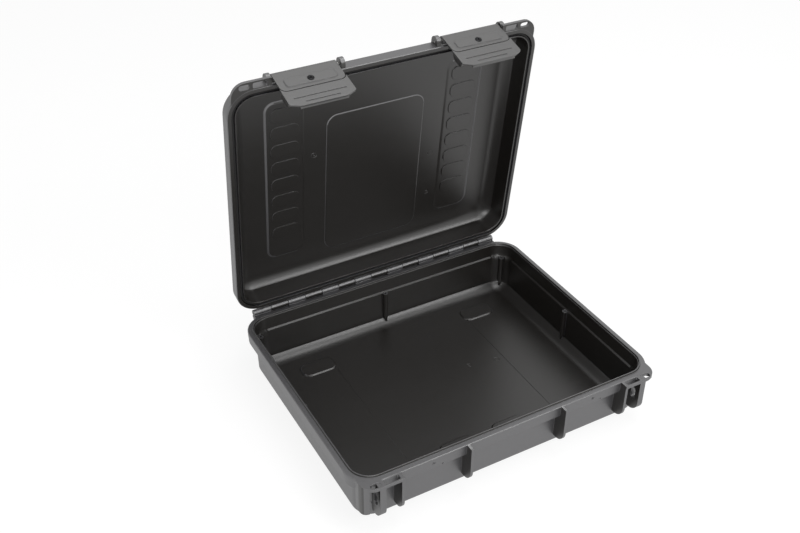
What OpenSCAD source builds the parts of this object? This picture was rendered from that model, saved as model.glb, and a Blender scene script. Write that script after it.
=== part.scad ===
// Laptop hard case, shown with the lid open.
// Two drafted shells with a tongue and seal groove, a fifteen-knuckle hinge
// along the back and two trigger latches on the front of the lid.
// X is to the right, Y to the back (hinge side), Z up. The base stands on z = 0.

/* [Case] */
// Width over the rim
case_w = 500; // [410:1:610]
// Depth over the rim, front to back
case_d = 402; // [330:1:490]
// Height of the base from its flat bottom to the rim
base_h = 88; // [72:1:140]
// Height of the lid above its own rim
lid_h = 42; // [35:1:60]
// Outer corner radius of the rim, also how far the cove reaches in
corner_r = 40; // [34:1:48]
// Wall thickness of both shells
wall = 3.6; // [2.8:0.1:4.4]

/* [Rim and seal] */
// Height of the skirt that hangs outside the rim
skirt_h = 18; // [14:1:22]
// Thickness of that skirt
skirt_t = 3.2; // [2.4:0.1:4]
// Gap between the skirt and the wall behind it
skirt_gap = 5; // [4:0.5:7]
// Thickness of the land that joins skirt and wall
land_t = 4.2; // [3:0.1:6]
// Undercut of the base skirt's lower edge, where the latches catch
catch_h = 1.5; // [1:0.1:1.6]
// Height of the tongue above the base rim
tongue_h = 2.6; // [1.5:0.1:3.2]
// Width of the seal groove in the lid
groove_w = 5; // [4:0.1:5.4]
// Depth of the seal groove
groove_h = 6.2; // [5:0.1:7]
// Distance of the groove and tongue centre from the outer edge
groove_s = 8.7; // [8:0.1:9.2]
// Gap between the two rims when the lid is shut
rim_gap = 0.4; // [0.2:0.1:1]
// Depth below the rim of the step that a panel frame rests on
ledge_drop = 22; // [18:1:30]
// Width of that step
ledge_w = 3; // [2:0.5:4]

/* [Hinge] */
// Number of knuckles, odd, the outer ones on the base
knuckles = 15; // [9:2:21]
// Distance of the first knuckle from the side of the case
hinge_inset = 25.5; // [22:0.5:45]
// Outer diameter of the knuckles
knuckle_d = 10; // [8:0.5:11]
// Diameter of the hinge pin
hinge_pin_d = 4; // [3:0.5:5]
// Distance of the pin behind the rim
hinge_out = 7.6; // [7:0.1:9]
// Height of the pin above the base rim
hinge_up = 2.3; // [1.5:0.1:3]
// Side gap between two knuckles
knuckle_gap = 0.9; // [0.4:0.1:1.2]
// Angle between the shut and the photographed lid
lid_open = 82.8; // [0:0.1:100]

/* [Latches] */
// Distance of a latch centre from the side of the case
latch_inset = 116.8; // [108:0.1:125]
// Half width of the latch barrel
latch_half = 48.2; // [44:0.1:49]
// Outer radius of the latch barrel
latch_tube_r = 6; // [5:0.5:6.5]
// Diameter of the latch pivot pin
latch_pin_d = 4; // [3:0.5:5]
// Distance of the latch pivot in front of the rim
latch_out = 4.1; // [3.6:0.1:5]
// Height of the latch pivot above the rim
latch_up = 10.7; // [10.2:0.1:11.5]
// Lean of the latch toward the case
latch_tilt = 9.4; // [8.5:0.1:10]
// Length of the upper plate below the pivot
plate_len = 36.5; // [35:0.5:38]
// Thickness of the upper plate
plate_t = 2.2; // [1.8:0.1:2.3]
// Length of the latch with its trigger
latch_len = 69.5; // [66:0.5:74]
// Distance of the trigger pin below the latch pivot
trigger_pin_drop = 20; // [19:0.5:21]
// Diameter of the trigger pin
trigger_pin_d = 2.4; // [2:0.1:2.6]
// Gap between upper plate and trigger plate
trigger_gap = 1.4; // [1:0.1:2]
// Distance of the rivet below the latch pivot
rivet_drop = 22.8; // [22:0.1:24]
// Radius of the ears that hold the latch pivot
ear_r = 8.4; // [7:0.1:8.5]
// Thickness of an ear
ear_t = 6.4; // [4:0.1:6.6]

/* [Front ribs and padlock flanges] */
// How far the ribs stand out in front of the rim
rib_out = 11.4; // [9:0.1:12]
// Thickness of a rib
rib_t = 4; // [3:0.5:5]
// Depth below the rim at which the rounded foot of a rib starts
rib_drop = 54; // [40:1:58]
// Thickness of a padlock flange
flange_t = 5; // [4:0.5:6]
// Outer corner radius of a padlock flange
flange_r = 21; // [18:1:24]

/* [Inside] */
// Diameter of the screw tubes on the inner walls
tube_d = 9; // [7:0.2:10]
// Bore of the screw tubes
tube_bore = 3; // [2.5:0.1:3.6]
// Width of the two ladder bands in the lid
band_w = 64; // [50:1:70]
// Distance of a band centre from the side of the case
band_inset = 99.5; // [94:0.5:104]
// Pitch of the cells in a band
cell_pitch = 30.7; // [28:0.1:34]
// Height that the bands and their cells each stand proud inside the lid
press_t = 1.2; // [0.8:0.1:1.6]
// Height that the floor pads stand proud inside the base
pad_h = 2; // [1:0.1:2.4]

/* [Hidden] */

charcoal = "#2f2e2d";
greyed = "#3b3a39";
rubber = "#161616";
steel = "#b4b6b8";

fit_clear = 0.02;      // radial gap of a pin in the part that holds it
run_clear = 0.08;      // radial gap of a pin in the part that turns on it
eps = 0.01;
$fn = 64;

side = case_w / 2;
hx = side - corner_r;
hy = case_d / 2 - corner_r;
yf = -case_d / 2;
yb = case_d / 2;
top = base_h;
lid_z = base_h + rim_gap;
lid_top = lid_z + lid_h;

wall_up = skirt_t + skirt_gap;            // outer face of the wall behind the skirt
wall_low = wall_up + ledge_w;             // outer face below the ledge
base_crease = 13.8;
lid_crease = lid_h - 14;
hinge_y = yb + hinge_out;
hinge_z = top + hinge_up;
hinge_len = case_w - 2 * hinge_inset;
pitch = hinge_len / knuckles;

latch_x = side - latch_inset;
latch_y = yf - latch_out;
latch_z = top + latch_up;
ear_gap = 2;                              // side gap between barrel and outer ear
ear_shift = 3.3;                          // the inner ear stands this much further off
bay_half = latch_half + ear_gap;          // from latch centre to the ears
trigger_half = latch_half + 1.2;
rib_in = latch_half + 4.4;                // latch centre to the face of the middle rib
rib_ou = latch_half + 2.6;                // latch centre to the face of the outer rib
plate_in = latch_tube_r - plate_t;        // inner face of the upper plate
trigger_pin_b = plate_in - 1.9;           // trigger pin outward from the latch pivot
groove_a = groove_s - groove_w / 2;
groove_b = groove_s + groove_w / 2;

// Points of a section. s is the distance in from the outer edge of the rim.
function at(s, z) = [corner_r - s, z];

// Arc from a crease to the flat floor, level where it meets the floor.
flat_r = 4;
function cove(s0, z0, z1, n = 11) =
  let (u = corner_r - flat_r - s0, h = abs(z0 - z1), r = (u * u + h * h) / (2 * h), a0 = asin(u / r))
  concat([for (i = [0:n]) let (a = a0 * (1 - i / n))
    [flat_r + r * sin(a), z1 + sign(z0 - z1) * r * (1 - cos(a))]], [[0, z1]]);

function back(v) = [for (i = [len(v) - 1:-1:0]) v[i]];

// Outline of a rectangle with round corners.
function round_box(w, d, r, n = 5) =
  [for (q = [0:3]) for (i = [0:n])
    let (a = 90 * q + 90 * i / n, cx = (q == 0 || q == 3) ? w / 2 - r : r - w / 2,
         cy = q < 2 ? d / 2 - r : r - d / 2)
    [cx + r * cos(a), cy + r * sin(a)]];

// Latch section point: a down the plate from the pivot, b outward from it.
function lp(a, b) = [-b, -a];

// Carries a wall section round the four sides and corners of the case.
module around() {
  for (q = [0, 180]) rotate([0, 0, q]) {
    translate([hx, 0, 0]) rotate([90, 0, 0]) linear_extrude(2 * hy, center = true) children();
    translate([hx, hy, 0]) rotate_extrude(angle = 90) children();
  }
  for (q = [90, 270]) rotate([0, 0, q]) {
    translate([hy, 0, 0]) rotate([90, 0, 0]) linear_extrude(2 * hx, center = true) children();
    translate([hy, hx, 0]) rotate_extrude(angle = 90) children();
  }
}

module base_section() {
  polygon(concat(
    [at(0.9, top), at(0, top - 0.9), at(0.5, top - skirt_h), at(skirt_t, top - skirt_h + catch_h),
     at(skirt_t, top - land_t), at(wall_up, top - land_t), at(wall_up, top - ledge_drop),
     at(wall_low, top - ledge_drop - 3), at(wall_low + 0.9, base_crease + 2)],
    cove(wall_low + 1.8, base_crease - 1, 0),
    back(cove(wall_low + wall + 1.1, base_crease + 0.2, wall)),
    [at(wall_low + wall, top - ledge_drop - 1.2), at(wall_up + wall + 0.2, top - ledge_drop + 0.4),
     at(wall_up + wall - 0.4, top - 1.2), at(wall_up + wall - 1, top),
     at(groove_s + 1.3, top), at(groove_s + 1, top + tongue_h - 0.7),
     at(groove_s + 0.5, top + tongue_h), at(groove_s - 0.5, top + tongue_h),
     at(groove_s - 1, top + tongue_h - 0.7), at(groove_s - 1.3, top)]));
}

module lid_section() {
  z = lid_z;
  polygon(concat(
    [at(0.9, z), at(0, z + 0.9), at(0.5, z + skirt_h), at(skirt_t, z + skirt_h),
     at(skirt_t, z + groove_h + land_t), at(wall_up + 1, z + groove_h + land_t),
     at(wall_low - 0.4, z + lid_crease - 3), at(wall_low + 0.4, z + lid_crease)],
    cove(wall_low + 1.3, z + lid_crease + 1.6, lid_top),
    back(cove(wall_low + wall + 0.4, z + lid_crease, lid_top - wall)),
    [at(wall_up + wall + 1.6, z + 1.2), at(wall_up + wall + 1, z), at(groove_b, z),
     at(groove_b - 0.1, z + groove_h), at(groove_a + 0.1, z + groove_h), at(groove_a, z)]));
}

// Turns what is drawn for the shut lid into the open position of the photograph.
module opened() {
  translate([0, hinge_y, hinge_z]) rotate([-lid_open, 0, 0]) translate([0, -hinge_y, -hinge_z])
    children();
}

// Plate standing across the front, drawn as its side view from y and z.
module across(x0, x1) {
  translate([x0, 0, 0]) rotate([90, 0, 90]) linear_extrude(x1 - x0) children();
}

// Side view of a front rib with its half-round foot.
module rib_view() {
  translate([yf - rib_out, top - rib_drop]) square([rib_out + wall_low + 1.5, rib_drop - 0.5]);
  translate([yf, top - rib_drop]) circle(r = rib_out);
}

// Side view of the wrapped corner of a padlock flange.
module corner_view() {
  r = rib_out + 3.2;
  translate([yf - 12.1, top - rib_drop]) square([2 * r, rib_drop - flange_t]);
  translate([yf - 12.1 + r, top - rib_drop]) circle(r = r);
}

// Plan of the right padlock flange, inner edge hidden in the rim.
module flange_plan(inner, reach) {
  cx = side - 7 - flange_r;
  cy = yf - 12.1 + flange_r;
  difference() {
    polygon(concat([[latch_x + rib_ou, yf + reach], [latch_x + rib_ou, yf - 12.1]],
      [for (i = [0:9]) [cx + flange_r * cos(i * 10 - 90), cy + flange_r * sin(i * 10 - 90)]],
      [[side - 7, yf + reach + 10]]));
    polygon(round_box(case_w - 2 * inner, case_d - 2 * inner, corner_r - inner, 9));
  }
}

// Two shackle slots of a padlock flange, seen from above.
module slot_plan() {
  x0 = latch_x + rib_ou + 8;
  translate([(x0 + side - 41) / 2, yf - 5.6]) polygon(round_box(side - 41 - x0, 6.8, 1.4, 3));
  translate([side - 27.5, yf - 5.4]) polygon(round_box(14, 7.2, 3, 3));
}

// Padlock flange with its ribs; up = 1 on the base, -1 on the lid.
module flange_block(base) {
  difference() {
    translate([0, 0, base ? top - flange_t : lid_z + 0.3])
      linear_extrude(flange_t - 0.3) flange_plan(groove_a - 0.6, 17);
    translate([0, 0, top - 20]) linear_extrude(40) slot_plan();
  }
  if (base) intersection() {
    linear_extrude(top - 1) flange_plan(13.5, 22);
    difference() {
      union() {
        across(latch_x + rib_ou, latch_x + rib_ou + rib_t) rib_view();
        across(side - 38.5, side - 29) rib_view();
        across(side - 15.5, side - 6) corner_view();
      }
      // window that a shackle passes through
      for (dz = [-27, -38]) translate([side - 39, yf + 1.2, top + dz]) rotate([0, 90, 0])
        cylinder(r = 4.6, h = 11);
      translate([side - 39, yf - 3.4, top - 38]) cube([11, 9.2, 11]);
    }
  }
}

// Shelf that closes the gap under the knuckles.
module hinge_shelf() {
  z = hinge_z - knuckle_d / 2 - 0.8;
  across(-hinge_len / 2, hinge_len / 2) polygon([
    [yb - 2.4, z], [yb - 2.4, top - skirt_h + 2], [yb + 0.4, top - skirt_h + 2],
    [hinge_y + 2.5, z - 2.4], [hinge_y + 2.5, z]]);
}

// Hinge knuckles of one shell.
module knuckle_row(first, up) {
  s = up ? 1 : -1;
  z0 = up ? lid_z : top;
  for (i = [first:2:knuckles - 1]) {
    x0 = -hinge_len / 2 + i * pitch + knuckle_gap / 2;
    translate([x0, hinge_y, hinge_z]) rotate([0, 90, 0])
      cylinder(d = knuckle_d, h = pitch - knuckle_gap);
    across(x0, x0 + pitch - knuckle_gap) polygon([
      [yb - 2.4, z0 + s * 0.8], [yb - 2.4, z0 + s * (skirt_h - 1)], [yb + 0.6, z0 + s * (skirt_h - 1)],
      [hinge_y + knuckle_d / 2 - 0.1, hinge_z + s * 0.8], [hinge_y, hinge_z],
      [hinge_y - knuckle_d / 2 + 0.4, z0 + s * 0.8]]);
  }
}

module long_bore(r) {
  translate([-side, hinge_y, hinge_z]) rotate([0, 90, 0]) cylinder(r = r, h = case_w);
}

// Screw tubes round the inner wall, each with its bore open at the ledge.
module tube_spots(s = wall_low + wall + 2.2) {
  for (sx = [-1, 1]) {
    translate([sx * (side - s), 0, 0]) children();
    translate([0, sx * (yb - s), 0]) children();
    for (sy = [-1, 1])
      translate([sx * (hx + (corner_r - s) * 0.707), sy * (hy + (corner_r - s) * 0.707), 0])
        children();
  }
}

// Flat pad that rises h above its ground, with round corners and a soft edge.
module soft_pad(w, d, r, h, slope) {
  for (q = [0, 1]) for (t = [0, 180]) rotate([0, 0, 90 * q + t]) {
    u = q == 0 ? w / 2 - r : d / 2 - r;
    v = q == 0 ? d / 2 - r : w / 2 - r;
    translate([u, 0, 0]) rotate([90, 0, 0]) linear_extrude(2 * v, center = true)
      pad_edge(r, h, slope);
    translate([u, v, 0]) rotate_extrude(angle = 90) pad_edge(r, h, slope);
  }
  translate([r - w / 2, r - d / 2, -1]) cube([w - 2 * r, d - 2 * r, h + 1]);
}
module pad_edge(r, h, slope) {
  polygon([[0, -1], [r, -1], [r, 0], [r - slope * 0.35, h * 0.58], [r - slope * 0.7, h * 0.9],
    [r - slope, h], [0, h]]);
}

// Floor pads: two at the back, two at the front.
module pad_spots(cut) {
  for (sx = [-1, 1]) {
    translate([sx * (side - 100), yb - 67, 0])
      if (cut) polygon(round_box(53, 27, 10.5)); else soft_pad(58, 32, 13, pad_h, 2.4);
    translate([sx * 45, yf + 76, 0])
      if (cut) polygon(round_box(53, 21, 9.5)); else soft_pad(58, 26, 12, pad_h, 2.4);
  }
}

module base_shell() {
  color(charcoal) difference() {
    union() {
      around() base_section();
      translate([-hx, -hy, 0]) cube([2 * hx, 2 * hy, wall]);
      translate([0, 0, wall]) pad_spots(false);
      for (sx = [0, 1]) mirror([sx, 0, 0]) {
        across(latch_x - rib_in - rib_t, latch_x - rib_in) rib_view();
        flange_block(true);
      }
      knuckle_row(0, false);
      hinge_shelf();
      difference() {
        union() {
          tube_spots() translate([0, 0, base_crease + 3])
            cylinder(d = tube_d, h = top - ledge_drop - base_crease - 3.6);
          // slimmer foot that runs out into the cove
          tube_spots(wall_low + wall + 4.2) translate([0, 0, base_crease - 4.5])
            cylinder(r = tube_d / 2 - 2.1, h = 8.3);
        }
        tube_spots() translate([0, 0, top - ledge_drop - 18]) cylinder(d = tube_bore, h = 20);
      }
    }
    translate([0, 0, -1]) linear_extrude(1 + pad_h) pad_spots(true);
    // parting lines of the floor insert and the gate mark
    for (sx = [-1, 1]) translate([sx * 125 - 0.3, yf + 52, wall - 0.25]) cube([0.6, case_d - 130, 1]);
    for (m = [[65, 20.6, 4.2], [65, 20.6, 1.4], [112, 12, 4.6]]) translate([m[0], m[1], wall - 0.3])
      difference() {
        cylinder(r = m[2], h = 1, $fn = 24);
        cylinder(r = m[2] - 0.7, h = 3, center = true, $fn = 24);
      }
    long_bore(hinge_pin_d / 2 + fit_clear);
    // pilot holes on the face of each latch bay, the first one with a shallow ring
    for (sx = [-1, 1]) translate([sx * latch_x, yf, top - 9.2]) {
      translate([0, 2.1, 0]) rotate([90, 0, 0]) cylinder(d = 2.1, h = 4);
      translate([0, 0.9, 0]) rotate([90, 0, 0]) cylinder(d = 5.2, h = 3);
      translate([14.6, 2.1, -6.8]) rotate([90, 0, 0]) cylinder(d = 2.1, h = 4);
    }
  }
}

// Ladder band, cells and centre panel of the lid, as plans.
band_len = case_d - 114;
band_y = -4;
cells = floor((band_len - 12) / cell_pitch);
panel_w = 2 * (side - band_inset) - band_w - 71;
panel_d = case_d - 145;
module band_spots() {
  for (sx = [-1, 1]) translate([sx * (side - band_inset), band_y, 0]) children();
}
module cell_plan(grow) {
  for (sx = [-1, 1]) for (i = [0:cells - 1])
    translate([sx * (side - band_inset), band_y - band_len / 2 + 24 + i * cell_pitch])
      polygon(round_box(band_w - 19 + grow, 22.5 + grow, 9 + grow / 2, 6));
}

// Side view of an ear that carries the latch pivot.
module ear_view() {
  z = lid_z + groove_h + 1.6;
  translate([latch_y, latch_z]) circle(r = ear_r);
  polygon([[latch_y, latch_z - ear_r], [yf + groove_a - 0.8, latch_z - ear_r], [yf + groove_a - 0.8, z],
    [yf + wall_up + 2.4, z], [yf + wall_up + 2.4, latch_z + ear_r], [latch_y, latch_z + ear_r]]);
}

module lid_shell() {
  color(charcoal) opened() difference() {
    union() {
      around() lid_section();
      translate([-hx, -hy, lid_top - wall]) cube([2 * hx, 2 * hy, wall]);
      translate([0, 0, lid_top - wall]) mirror([0, 0, 1]) {
        band_spots() soft_pad(band_w, band_len, 16, press_t, 5);
        translate([0, 0, -1]) linear_extrude(2 * press_t + 1) cell_plan(0);
        translate([0, 26.5, 0]) soft_pad(panel_w, panel_d, 18, 0.9, 2.2);
      }
      for (sx = [0, 1]) mirror([sx, 0, 0]) {
        flange_block(false);
        across(latch_x - bay_half - ear_shift - ear_t, latch_x - bay_half - ear_shift) ear_view();
        across(latch_x + bay_half, latch_x + bay_half + ear_t) ear_view();
      }
      knuckle_row(1, true);
    }
    // the outside is hollow where the inside stands proud
    translate([0, 0, lid_top - press_t]) linear_extrude(5)
      band_spots() polygon(round_box(band_w - 5, band_len - 5, 13.5));
    translate([0, 0, lid_top - 2 * press_t]) linear_extrude(5) cell_plan(-2);
    translate([0, 26.5, lid_top - 0.9]) linear_extrude(5) polygon(round_box(panel_w - 3, panel_d - 3, 16.5));
    // ejector and date marks of the mould
    for (m = [[-103, -38, 4.6], [-103, -38, 1.6], [102.5, 95, 3.4], [102.5, 16, 4.6]])
      translate([m[0], m[1], lid_top - wall - 0.8]) difference() {
        cylinder(r = m[2], h = 1.1, $fn = 24);
        cylinder(r = m[2] - 0.7, h = 3, center = true, $fn = 24);
      }
    long_bore(hinge_pin_d / 2 + run_clear);
    for (sx = [-1, 1]) translate([sx * latch_x, 0, 0]) {
      // the skirt is open where the latch barrel lies
      translate([-bay_half - (sx > 0 ? ear_shift : 0), yf - 2, lid_z + 3])
        cube([2 * bay_half + ear_shift, skirt_t + 2, skirt_h]);
      translate([-bay_half - 11, latch_y, latch_z]) rotate([0, 90, 0])
        cylinder(d = latch_pin_d + 2 * fit_clear, h = 2 * bay_half + 22);
    }
  }
}

module lid_gasket() {
  color(rubber) opened() around() polygon([
    at(groove_a + 0.4, lid_z + groove_h - 0.05), at(groove_a + 0.4, lid_z + tongue_h + 1.1),
    at(groove_a + 1.1, lid_z + tongue_h + 0.3), at(groove_b - 1.1, lid_z + tongue_h + 0.3),
    at(groove_b - 0.4, lid_z + tongue_h + 1.1), at(groove_b - 0.4, lid_z + groove_h - 0.05)]);
}

module hinge_pin() {
  color(steel) translate([-hinge_len / 2 + 1.5, hinge_y, hinge_z]) rotate([0, 90, 0])
    cylinder(d = hinge_pin_d, h = hinge_len - 3);
}

// Places a latch piece; drawn about its pivot with the plate pointing down.
module on_latch(sx) {
  opened() translate([sx * latch_x, latch_y, latch_z]) rotate([latch_tilt, 0, 0]) children();
}
// Extrudes a latch section along X.
module wide(w, x = 0) {
  translate([x - w / 2, 0, 0]) rotate([90, 0, 90]) linear_extrude(w) children();
}
// Extrudes a front outline of the latch from b0 out to b1.
module facing(b0, b1) {
  translate([0, -b0, 0]) rotate([90, 0, 0]) linear_extrude(b1 - b0) children();
}
module latch_rod(d, half) {
  translate([-half, 0, 0]) rotate([0, 90, 0]) cylinder(d = d, h = 2 * half);
}

plate_corner = 9;
emboss_top = 13.5;
emboss_bot = plate_len - 5.5;
module plate_face() {
  w = latch_half;
  r = plate_corner;
  polygon(concat([[-w, 0]],
    [for (i = [0:6]) [-w + r + r * cos(180 + 15 * i), -plate_len + r + r * sin(180 + 15 * i)]],
    [for (i = [0:6]) [w - r + r * cos(270 + 15 * i), -plate_len + r + r * sin(270 + 15 * i)]],
    [[w, 0]]));
}
module emboss_face(grow) {
  translate([0, -(emboss_top + emboss_bot) / 2])
    polygon(round_box(2 * (latch_half - 10) + grow, emboss_bot - emboss_top + grow, 5 + grow / 2));
}

module latch_body() {
  color(greyed) difference() {
    union() {
      latch_rod(2 * latch_tube_r, latch_half);
      facing(plate_in, latch_tube_r) plate_face();
      facing(latch_tube_r - 0.5, latch_tube_r + 0.6) emboss_face(0);
      facing(latch_tube_r, latch_tube_r + 1.1) emboss_face(-1.6);
      // arms that hold the trigger pin
      for (sx = [-1, 1]) wide(3.4, sx * (latch_half - 2.6)) {
        translate(lp(trigger_pin_drop, trigger_pin_b)) circle(r = 2.3);
        polygon([lp(trigger_pin_drop - 4, plate_in + 0.2), lp(trigger_pin_drop - 2.2, trigger_pin_b),
          lp(trigger_pin_drop + 2.2, trigger_pin_b), lp(trigger_pin_drop + 5, plate_in + 0.2)]);
      }
      // stiffening ribs between barrel and plate
      for (x = [-30, -10, 10, 30]) wide(1.6, x)
        polygon([lp(2, 1), lp(11, plate_in + 0.2), lp(0, plate_in + 0.2)]);
    }
    facing(plate_in - 0.1, plate_in + 1.2) emboss_face(-4);
    latch_rod(latch_pin_d + 2 * run_clear, latch_half + 1);
    translate(concat([0], lp(trigger_pin_drop, trigger_pin_b)))
      latch_rod(trigger_pin_d + 2 * fit_clear, latch_half + 1);
    translate([0, -plate_in + 1, -rivet_drop]) rotate([90, 0, 0]) cylinder(r = 1.6, h = 8);
  }
}

// Front outline of the trigger: it wraps the round corners of the upper plate.
module trigger_face() {
  w = trigger_half;
  cx = latch_half - plate_corner;
  cy = -plate_len + plate_corner;
  r = plate_corner + trigger_gap;
  polygon(concat(
    [for (i = [0:6]) let (a = 198 + 12 * i) [max(-w, -cx + r * cos(a)), cy + r * sin(a)]],
    [for (i = [0:6]) let (a = 270 + 12 * i) [min(w, cx + r * cos(a)), cy + r * sin(a)]],
    [[w, -latch_len + 8], [w - 2, -latch_len + 6], [w - 13, -latch_len + 1],
     [w - 18, -latch_len], [18 - w, -latch_len], [13 - w, -latch_len + 1],
     [2 - w, -latch_len + 6], [-w, -latch_len + 8]]));
}
// Lower outer corner of the base skirt in latch section terms, and the slope of its undercut.
catch_a = (latch_out + 0.5) * sin(latch_tilt) + (latch_up + skirt_h) * cos(latch_tilt);
catch_b = (latch_up + skirt_h) * sin(latch_tilt) - (latch_out + 0.5) * cos(latch_tilt);
catch_k = (catch_h * cos(latch_tilt) - (skirt_t - 0.5) * sin(latch_tilt))
  / ((skirt_t - 0.5) * cos(latch_tilt) + catch_h * sin(latch_tilt));
function bill(b) = catch_a + 0.38 - catch_k * (catch_b - b);
module claw_view(start, thick) {
  p = plate_len - 36.5;
  polygon([lp(start, 0.6), lp(catch_a - 0.6, 0.8), lp(bill(0.6), 0.6), lp(bill(-2.2), -2.2),
    lp(bill(-2.2) + 0.3, -2.6), lp(catch_a + 1.6, -3), lp(37.5 + p, -2.6), lp(42 + p, 1),
    lp(43 + p, 3.8), lp(38.1 + p, 3.8), lp(37 + p, -0.2), lp(catch_a + 3.93, 0.6),
    lp(catch_a + 0.33, 1.4),
    lp(start + 3, thick)]);
}
module finger_groove(drop, half) {
  facing(latch_tube_r - 0.9, latch_tube_r + 1) translate([0, -drop])
    polygon(round_box(2 * half, 1.9, 0.9, 3));
}

module latch_trigger() {
  b = trigger_pin_b;
  color(greyed) difference() {
    union() {
      facing(latch_tube_r - 2.6, latch_tube_r) trigger_face();
      // return flange under the finger edge
      wide(2 * (trigger_half - 14)) polygon([lp(latch_len - 3, 3.6), lp(latch_len - 0.4, 3.6),
        lp(latch_len + 0.4, 0.6), lp(latch_len - 2, 0.6)]);
      // end cheeks
      for (sx = [-1, 1]) wide(3, sx * (trigger_half - 1.5)) polygon([lp(34, 3.6), lp(42, -3.4),
        lp(58, -3.4), lp(latch_len - 9, 0), lp(latch_len - 9, 3.6)]);
      // claws on the pin, one each side of the spring
      for (sx = [-1, 1]) {
        wide(24, sx * 23) {
          translate(lp(trigger_pin_drop, b)) circle(r = 2.1);
          claw_view(trigger_pin_drop - 1, 3.3);
        }
      }
      wide(24) claw_view(24.6, 2);
      // stiffening ribs behind the finger plate
      for (x = [-24, 0, 24]) wide(1.6, x) polygon([lp(40, 3.6), lp(40, 1), lp(44, 0.4),
        lp(latch_len - 3, 2), lp(latch_len - 2, 3.6)]);
    }
    translate(concat([0], lp(trigger_pin_drop, b)))
      latch_rod(trigger_pin_d + 2 * run_clear, latch_half);
    finger_groove(54, trigger_half - 10.5);
    finger_groove(latch_len - 6.3, trigger_half - 24);
  }
}

module latch_pivot_pin(sx) {
  color(steel) translate([-sx * ear_shift / 2, 0, 0])
    latch_rod(latch_pin_d, bay_half + ear_shift / 2 + ear_t - 0.6);
}

module trigger_pin() {
  color(steel) translate(concat([0], lp(trigger_pin_drop, trigger_pin_b)))
    latch_rod(trigger_pin_d, latch_half - 1);
}

// Leaf spring under the rivet; its tail bears on the trigger between the claws.
leaf_b = plate_in + 0.65;
module trigger_spring() {
  color(steel) difference() {
    wide(14) polygon([lp(17.5, leaf_b), lp(25.4, leaf_b), lp(27.4, leaf_b - 0.4),
      lp(27.5, leaf_b + 0.1), lp(25.4, leaf_b + 0.5), lp(17.5, leaf_b + 0.5)]);
    translate([0, 0, -rivet_drop]) rotate([90, 0, 0]) cylinder(r = 1.56, h = 12);
  }
}

// Tubular rivet: shank, ringed outer head and small inner head.
module latch_rivet() {
  color(steel) translate([0, 0, -rivet_drop]) rotate([90, 0, 0]) rotate_extrude()
    polygon([[0, leaf_b - 0.75], [2.6, leaf_b - 0.75], [2.8, leaf_b - 0.55], [2.8, leaf_b - 0.05],
      [1.5, leaf_b - 0.05], [1.5, latch_tube_r + 1.15], [5, latch_tube_r + 1.15],
      [5, latch_tube_r + 1.6], [4.2, latch_tube_r + 1.9], [3.4, latch_tube_r + 1.6],
      [2.4, latch_tube_r + 2], [1.3, latch_tube_r + 1.9], [1.3, latch_tube_r - 1], [0, latch_tube_r - 1]]);
}

base_shell();
lid_shell();
lid_gasket();
hinge_pin();
on_latch(-1) latch_body();  // latch_body_left
on_latch(1) latch_body();  // latch_body_right
on_latch(-1) latch_trigger();  // latch_trigger_left
on_latch(1) latch_trigger();  // latch_trigger_right
on_latch(-1) latch_pivot_pin(-1);  // latch_pivot_pin_left
on_latch(1) latch_pivot_pin(1);  // latch_pivot_pin_right
on_latch(-1) trigger_pin();  // trigger_pin_left
on_latch(1) trigger_pin();  // trigger_pin_right
on_latch(-1) trigger_spring();  // trigger_spring_left
on_latch(1) trigger_spring();  // trigger_spring_right
on_latch(-1) latch_rivet();  // latch_rivet_left
on_latch(1) latch_rivet();  // latch_rivet_right
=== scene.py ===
from math import radians

import bpy
from mathutils import Matrix, Vector


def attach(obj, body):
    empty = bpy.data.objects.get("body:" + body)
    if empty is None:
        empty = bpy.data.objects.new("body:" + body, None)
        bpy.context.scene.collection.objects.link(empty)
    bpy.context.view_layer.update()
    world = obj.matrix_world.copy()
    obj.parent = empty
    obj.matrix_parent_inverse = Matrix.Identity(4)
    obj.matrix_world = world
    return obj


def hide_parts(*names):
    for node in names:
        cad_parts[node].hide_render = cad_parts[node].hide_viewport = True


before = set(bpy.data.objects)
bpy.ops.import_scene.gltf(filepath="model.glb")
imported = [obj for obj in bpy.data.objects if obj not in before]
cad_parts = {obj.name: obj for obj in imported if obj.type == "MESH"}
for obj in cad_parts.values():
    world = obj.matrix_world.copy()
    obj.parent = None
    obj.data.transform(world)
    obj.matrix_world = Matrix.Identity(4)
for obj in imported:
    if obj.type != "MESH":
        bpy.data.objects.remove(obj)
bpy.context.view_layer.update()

MM = 0.001


# Materials

def paint(hex_colour):
    """sRGB hex to the linear colour that Blender's sockets take."""
    parts = [int(hex_colour[i:i + 2], 16) / 255 for i in (1, 3, 5)]
    linear = [c / 12.92 if c <= 0.04045 else ((c + 0.055) / 1.055) ** 2.4 for c in parts]
    return tuple(linear) + (1.0,)


def add(material, kind, links=None, inputs=None, **settings):
    """Adds one node. links and inputs are its sockets, by name or number: what feeds them, or a
    fixed value. settings are its properties, or fixed values of sockets whose name is one word."""
    tree = material.node_tree
    node = tree.nodes.new("ShaderNode" + kind)
    for name, value in settings.items():
        if name in node.bl_rna.properties:
            setattr(node, name, value)
        else:
            node.inputs[name.replace("_", " ")].default_value = value
    for name, value in (inputs or {}).items():
        node.inputs[name].default_value = value
    for name, source in (links or {}).items():
        tree.links.new(source, node.inputs[name])
    return node


def new_material(name, **shader):
    material = bpy.data.materials.new(name)
    material.use_nodes = True
    material.node_tree.nodes.clear()
    surface = add(material, "BsdfPrincipled", **shader)
    add(material, "OutputMaterial", {"Surface": surface.outputs["BSDF"]})
    return material, surface


def number(material, operation, first, second):
    """One step of arithmetic; a source is a socket, anything else a fixed value."""
    links, inputs = {}, {}
    for slot, term in enumerate((first, second)):
        (links if hasattr(term, "is_linked") else inputs)[slot] = term
    return add(material, "Math", links, inputs, operation=operation).outputs[0]


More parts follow.
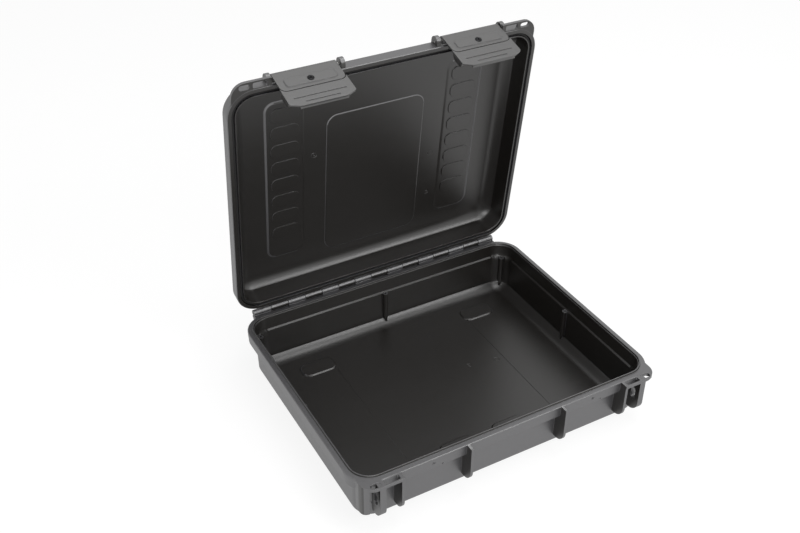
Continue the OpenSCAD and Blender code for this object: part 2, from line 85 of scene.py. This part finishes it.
def blend(material, factor, low, high):
    """Mixes two colours, or two numbers, by a factor socket."""
    if isinstance(low, str):
        node = add(material, "Mix", {0: factor}, {6: paint(low), 7: paint(high)}, data_type="RGBA")
        return node.outputs[2]
    links, inputs = {0: factor}, {}
    for slot, term in ((2, low), (3, high)):
        (links if hasattr(term, "is_linked") else inputs)[slot] = term
    return add(material, "Mix", links, inputs, data_type="FLOAT").outputs[0]


def moulded_plastic(name, dark, light, gloss, grain, depth, index):
    """Injection moulded black plastic. Faint flow clouds and streaks from the filling of the mould,
    a fine grain (its size and depth in mm), roughness that wanders between the two values of
    gloss, and edges broken by half a millimetre."""
    material, surface = new_material(name, IOR=index)
    link = material.node_tree.links.new
    place = add(material, "TexCoord").outputs["Object"]
    clouds = add(material, "TexNoise", {"Vector": place},
                 Scale=9.0, Detail=4.0, Roughness=0.6).outputs[0]
    streaks = add(material, "Mapping", {"Vector": place}, Scale=(3.0, 26.0, 26.0)).outputs[0]
    flow = add(material, "TexNoise", {"Vector": streaks},
               Scale=4.0, Detail=3.0, Roughness=0.5).outputs[0]
    drift = number(material, "MULTIPLY", number(material, "ADD", clouds, flow), 0.5)
    link(blend(material, drift, dark, light), surface.inputs["Base Color"])

    mottle = add(material, "TexNoise", {"Vector": place}, Scale=160.0, Detail=2.0).outputs[0]
    wander = number(material, "MULTIPLY", number(material, "ADD", mottle, drift), 0.5)
    link(blend(material, wander, *gloss), surface.inputs["Roughness"])

    height = add(material, "TexNoise", {"Vector": place}, Scale=1 / (grain * MM), Detail=1.5)
    bump = add(material, "Bump", {"Height": height.outputs[0]}, Strength=0.4, Distance=depth * MM)
    soft_edge = add(material, "Bevel", {"Normal": bump.outputs["Normal"]},
                    samples=6, Radius=0.6 * MM)
    link(soft_edge.outputs["Normal"], surface.inputs["Normal"])
    return material


def drawn_steel(name, tint, rough):
    """Cold drawn stainless wire: straight fine draw lines along the pin, so the highlight is
    a long soft streak."""
    material, surface = new_material(name, Metallic=1.0, Roughness=rough)
    link = material.node_tree.links.new
    place = add(material, "TexCoord").outputs["Object"]
    stretch = add(material, "Mapping", {"Vector": place}, Scale=(4.0, 900.0, 900.0))
    lines = add(material, "TexNoise", {"Vector": stretch.outputs["Vector"]}, Scale=1.0, Detail=2.0)
    link(blend(material, lines.outputs["Fac"], *tint), surface.inputs["Base Color"])
    bump = add(material, "Bump", {"Height": lines.outputs["Fac"]}, Strength=0.2, Distance=0.01 * MM)
    link(bump.outputs["Normal"], surface.inputs["Normal"])
    return material


def sealing_cord(name):
    """Extruded cellular rubber cord: matt black with open pores of a third of a millimetre."""
    material, surface = new_material(name, Roughness=0.8, IOR=1.5)
    link = material.node_tree.links.new
    place = add(material, "TexCoord").outputs["Object"]
    pores = add(material, "TexVoronoi", {"Vector": place}, Scale=3000.0)
    link(blend(material, pores.outputs["Distance"], "#0c0c0c", "#1c1b1b"), surface.inputs["Base Color"])
    bump = add(material, "Bump", {"Height": pores.outputs["Distance"]}, Strength=0.4, Distance=0.05 * MM)
    link(bump.outputs["Normal"], surface.inputs["Normal"])
    return material


HINGE = (0.0, 208.6 * MM, 90.3 * MM)
# Outside, the plastic has a leather grain that spreads a strong grey sheen. Inside it is the same
# plastic, satin, with its colour painted darker as painted shade. The latches are as the outside.
# Polypropylene's own index is about 1.49: these are raised until the sheen has the photograph's tones,
# and aren't the plastic's real ones.
textured_plastic = moulded_plastic("polypropylene_black_textured", "#242326", "#2a292c",
                                   (0.38, 0.50), grain=0.55, depth=0.02, index=2.2)
# The satin copy's darker colour is painted shade, not a different plastic.
satin_painted_shade_plastic = moulded_plastic("polypropylene_black_satin_painted_shade", "#0c0906", "#120f0c", (0.30, 0.42),
                                grain=0.30, depth=0.010, index=1.72)
latch_plastic = moulded_plastic("glass_filled_nylon_fine_texture", "#222120", "#292827", (0.36, 0.48),
                                grain=0.40, depth=0.02, index=2.0)
pin_steel = drawn_steel("stainless_steel_drawn", ("#a9a9a7", "#c3c3c0"), 0.28)
spring_steel = drawn_steel("spring_steel_strip", ("#8d8d8b", "#a5a5a2"), 0.32)
rivet_steel = drawn_steel("rivet_black_zinc", ("#1f1f20", "#2b2b2c"), 0.35)
seal_rubber = sealing_cord("seal_cord_cellular_rubber")

FINISH = {
    "base_shell": textured_plastic, "lid_shell": textured_plastic, "lid_gasket": seal_rubber,
    "hinge_pin": pin_steel,
}
for side in ("left", "right"):
    FINISH["latch_body_" + side] = latch_plastic
    FINISH["latch_trigger_" + side] = latch_plastic
    FINISH["latch_pivot_pin_" + side] = pin_steel
    FINISH["trigger_pin_" + side] = pin_steel
    FINISH["trigger_spring_" + side] = spring_steel
    FINISH["latch_rivet_" + side] = rivet_steel
for name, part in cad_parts.items():
    part.data.materials.clear()
    part.data.materials.append(FINISH[name])


# Finished shells

# All in mm, for the right half and the lid shut; the left half mirrors them. A span is its two ends.
SLOT_MARGIN = 0.1
INNER_SLOT = (192.0, 209.0), (-210.0, -203.2)
OUTER_SLOT = (215.5, 229.5), (-210.0, -202.8)
INNER_SLOT_END, INNER_SLOT_DEPTH = 211.4, (-210.7, -202.3)
WIDER_OUTER_SLOT = (216.0, 231.6), (-210.2, -202.3)
BASE_FLANGE, BASE_INNER_SLOT_START = (82.5, 88.5), 188.6
LID_FLANGE, LID_INNER_SLOT_START = (88.5, 93.7), 190.3
FOOT_HEIGHTS, RIB_BACK = (18.0, 34.3), -186.0
RIB_SPANS = (76.0, 81.0), (183.5, 188.5), (211.0, 221.5)
RIB_FOOT = dict(centre_y=-193.4, centre_z=43.0, radius=19.0)
WRAP_START, WRAP_BACK = 234.0, -175.0
WRAP_FOOT = dict(centre_y=-196.1, centre_z=53.0, radius=17.0)
RIGHT_WRAP_END = 81.0
TUB_HALF = 241, 192
BASE_MIDDLE, LID_MIDDLE = 55, 92
LID_OPENING = radians(82.8)


def inside(value, span, margin=0.0):
    return span[0] - margin < value < span[1] + margin


def rescale(value, old, new):
    return new[0] + (value - old[0]) * (new[1] - new[0]) / (old[1] - old[0])


def quarter_foot(y, centre_y, centre_z, radius):
    """Height of a foot whose front runs down in a quarter circle and then back level."""
    reach = min(max(centre_y - y, 0.0), radius)
    return centre_z - (radius * radius - reach * reach) ** 0.5


def shape_slots(x, y, z, flange, inner_start):
    """The shackle slots fill the bays between the ribs."""
    wider_inner = (inner_start, INNER_SLOT_END), INNER_SLOT_DEPTH
    for old, new in ((INNER_SLOT, wider_inner), (OUTER_SLOT, WIDER_OUTER_SLOT)):
        if (inside(z, flange) and inside(x, old[0], SLOT_MARGIN)
                and inside(y, old[1], SLOT_MARGIN)):
            return rescale(x, old[0], new[0]), rescale(y, old[1], new[1])
    return x, y


def shape_base(x, y, z, right):
    """Quarter-round feet under the front ribs and a higher one under the left wrapped corner. On
    the right the photograph shows the background there, so that wrap ends under the flange.
    Known fault: the wrap's rule also catches nine points a side of the body's own corner, and on
    the right some faces cross each other there."""
    x, y = shape_slots(x, y, z, BASE_FLANGE, BASE_INNER_SLOT_START)
    if inside(z, FOOT_HEIGHTS) and y < RIB_BACK and any(inside(x, span) for span in RIB_SPANS):
        z = quarter_foot(y, **RIB_FOOT)
    if inside(z, FOOT_HEIGHTS) and y < WRAP_BACK and x > WRAP_START:
        z = RIGHT_WRAP_END if right else quarter_foot(y, **WRAP_FOOT)
    return x, y, z


def shape_lid(x, y, z, right):
    x, y = shape_slots(x, y, z, LID_FLANGE, LID_INNER_SLOT_START)
    return x, y, z


def finished_shell(node, shape, turn, middle):
    """A copy of a shell with its facets joined, its feet and slots worked over as seen in the
    photograph, its curved faces shaded smooth. The satin copy, whose darker colour is painted shade, goes
    on the faces that look into the tub, whose middle is at that height in mm, and on the rib flanks,
    sealing tongue and joint face, where it paints their shade. The lid is worked on as if it were shut."""
    bpy.ops.object.select_all(action="DESELECT")
    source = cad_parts[node]
    piece = source.copy()
    piece.data = source.data.copy()
    piece.name = node + "_finished"
    bpy.context.scene.collection.objects.link(piece)
    piece.select_set(True)
    bpy.context.view_layer.objects.active = piece
    bpy.ops.object.mode_set(mode="EDIT")
    bpy.ops.mesh.select_all(action="SELECT")
    bpy.ops.mesh.remove_doubles(threshold=0.002 * MM)
    bpy.ops.mesh.dissolve_limited(angle_limit=radians(0.05), use_dissolve_boundaries=False)
    bpy.ops.object.mode_set(mode="OBJECT")
    shut = (Matrix.Translation(HINGE) @ Matrix.Rotation(turn, 4, "X")
            @ Matrix.Translation([-c for c in HINGE]))
    back = shut.inverted()
    for vertex in piece.data.vertices:
        x, y, z = (c / MM for c in shut @ vertex.co)
        new_x, new_y, new_z = shape(abs(x), y, z, x > 0)
        if (new_x, new_y, new_z) != (abs(x), y, z):
            side = 1 if x > 0 else -1
            vertex.co = back @ (Vector((side * new_x, new_y, new_z)) * MM)
    # Slot 1 is the satin copy: its darker colour paints shade on the tub's inside, the rib flanks, the
    # sealing tongue and the lid's joint face.
    piece.data.materials.append(satin_painted_shade_plastic)
    for face in piece.data.polygons:
        spot, normal = shut @ face.center / MM, shut.to_3x3() @ face.normal
        toward_middle = normal.dot(Vector((0, 0, middle)) - spot) > 0
        tub = abs(spot.x) < TUB_HALF[0] and abs(spot.y) < TUB_HALF[1] and toward_middle
        tongue = 88.05 < spot.z < 90.4 and abs(normal.z) < 0.6 and normal.z > -0.2
        rib_flank = abs(normal.x) > 0.9 and spot.y < -190.5 and not 82.4 < spot.z < 94
        joint_face = node == "lid_shell" and normal.z < -0.8 and spot.z < 99
        face.material_index = int(tub or tongue or rib_flank or joint_face)
    bpy.ops.object.shade_smooth_by_angle(angle=radians(24))
    flat = piece.modifiers.new("flat_faces_stay_flat", "WEIGHTED_NORMAL")
    flat.keep_sharp = True
    flat.weight = 100
    bpy.ops.object.modifier_apply(modifier=flat.name)
    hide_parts(node)
    return piece


base_finished = finished_shell("base_shell", shape_base, 0.0, BASE_MIDDLE)
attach(base_finished, "base")
lid_finished = finished_shell("lid_shell", shape_lid, LID_OPENING, LID_MIDDLE)
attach(lid_finished, "lid")


# Stage

def seen_directly(path, tree):
    """1 for what the camera, a reflection or a clear body sees, 0 for light on the object."""
    total = path.outputs["Is Camera Ray"]
    for kind in ("Is Glossy Ray", "Is Transmission Ray"):
        sum_up = tree.nodes.new("ShaderNodeMath")
        sum_up.operation = "ADD"
        sum_up.use_clamp = True
        tree.links.new(total, sum_up.inputs[0])
        tree.links.new(path.outputs[kind], sum_up.inputs[1])
        total = sum_up.outputs[0]
    return total


def pale_floor():
    """White sweep. Seen directly it glows up to white and keeps a soft shadow of the case."""
    bpy.ops.mesh.primitive_plane_add(size=14, location=(0, 0, -0.0005))
    floor = bpy.context.object
    floor.name = "floor"
    material = bpy.data.materials.new("paper_sweep_white")
    material.use_nodes = True
    tree = material.node_tree
    tree.nodes.clear()
    paper = add(material, "BsdfDiffuse", Color=paint("#e6e6e6"))
    shaded = add(material, "BsdfDiffuse", Color=paint("#7e7e7e"))
    glow = add(material, "Emission", Color=(1, 1, 1, 1), Strength=0.84)
    seen = add(material, "AddShader", {0: shaded.outputs[0], 1: glow.outputs[0]})
    path = add(material, "LightPath")
    surface = add(material, "MixShader", {0: seen_directly(path, tree), 1: paper.outputs[0],
                                          2: seen.outputs[0]})
    add(material, "OutputMaterial", {"Surface": surface.outputs[0]})
    floor.data.materials.append(material)


def studio_world():
    world = bpy.data.worlds.new("white_studio")
    bpy.context.scene.world = world
    world.use_nodes = True
    tree = world.node_tree
    tree.nodes.clear()
    seen = tree.nodes.new("ShaderNodeBackground")
    seen.inputs["Color"].default_value = (1, 1, 1, 1)
    seen.inputs["Strength"].default_value = 1.0
    light = tree.nodes.new("ShaderNodeBackground")
    light.inputs["Color"].default_value = (1, 1, 1, 1)
    light.inputs["Strength"].default_value = 0.45
    path = tree.nodes.new("ShaderNodeLightPath")
    mix = tree.nodes.new("ShaderNodeMixShader")
    out = tree.nodes.new("ShaderNodeOutputWorld")
    tree.links.new(seen_directly(path, tree), mix.inputs[0])
    tree.links.new(light.outputs[0], mix.inputs[1])
    tree.links.new(seen.outputs[0], mix.inputs[2])
    tree.links.new(mix.outputs[0], out.inputs["Surface"])


def softbox(name, place, target, size, power):
    bpy.ops.object.light_add(type="AREA", location=place)
    lamp = bpy.context.object
    lamp.name = name
    lamp.data.shape = "RECTANGLE"
    lamp.data.size, lamp.data.size_y = size
    lamp.data.energy = power
    aim = Vector(target) - Vector(place)
    lamp.rotation_euler = aim.to_track_quat("-Z", "Y").to_euler()


def photo_camera():
    bpy.ops.object.camera_add()
    camera = bpy.context.object
    camera.name = "photo_camera"
    right, up, back = (0.8749, -0.4843, 0.0012), (0.2782, 0.5046, 0.8173), (-0.3964, -0.7148, 0.5762)
    turn = Matrix((right, up, back)).transposed()
    camera.matrix_world = Matrix.Translation((-0.6551, -1.0475, 1.1028)) @ turn.to_4x4()
    camera.data.sensor_width = 36
    camera.data.lens = 46.97
    bpy.context.scene.camera = camera


pale_floor()
studio_world()
softbox("overhead", (0.3, -0.1, 2.4), (0, 0, 0.2), (1.6, 1.2), 20)
softbox("front_right_high", (1.05, -1.75, 1.65), (0, 0, 0.15), (1.4, 0.7), 17)
softbox("front_left_low", (-1.1, -2.4, 0.8), (0, 0, 0.1), (1.8, 1.0), 24)
photo_camera()

view = bpy.context.scene.view_settings
view.view_transform = "Standard"
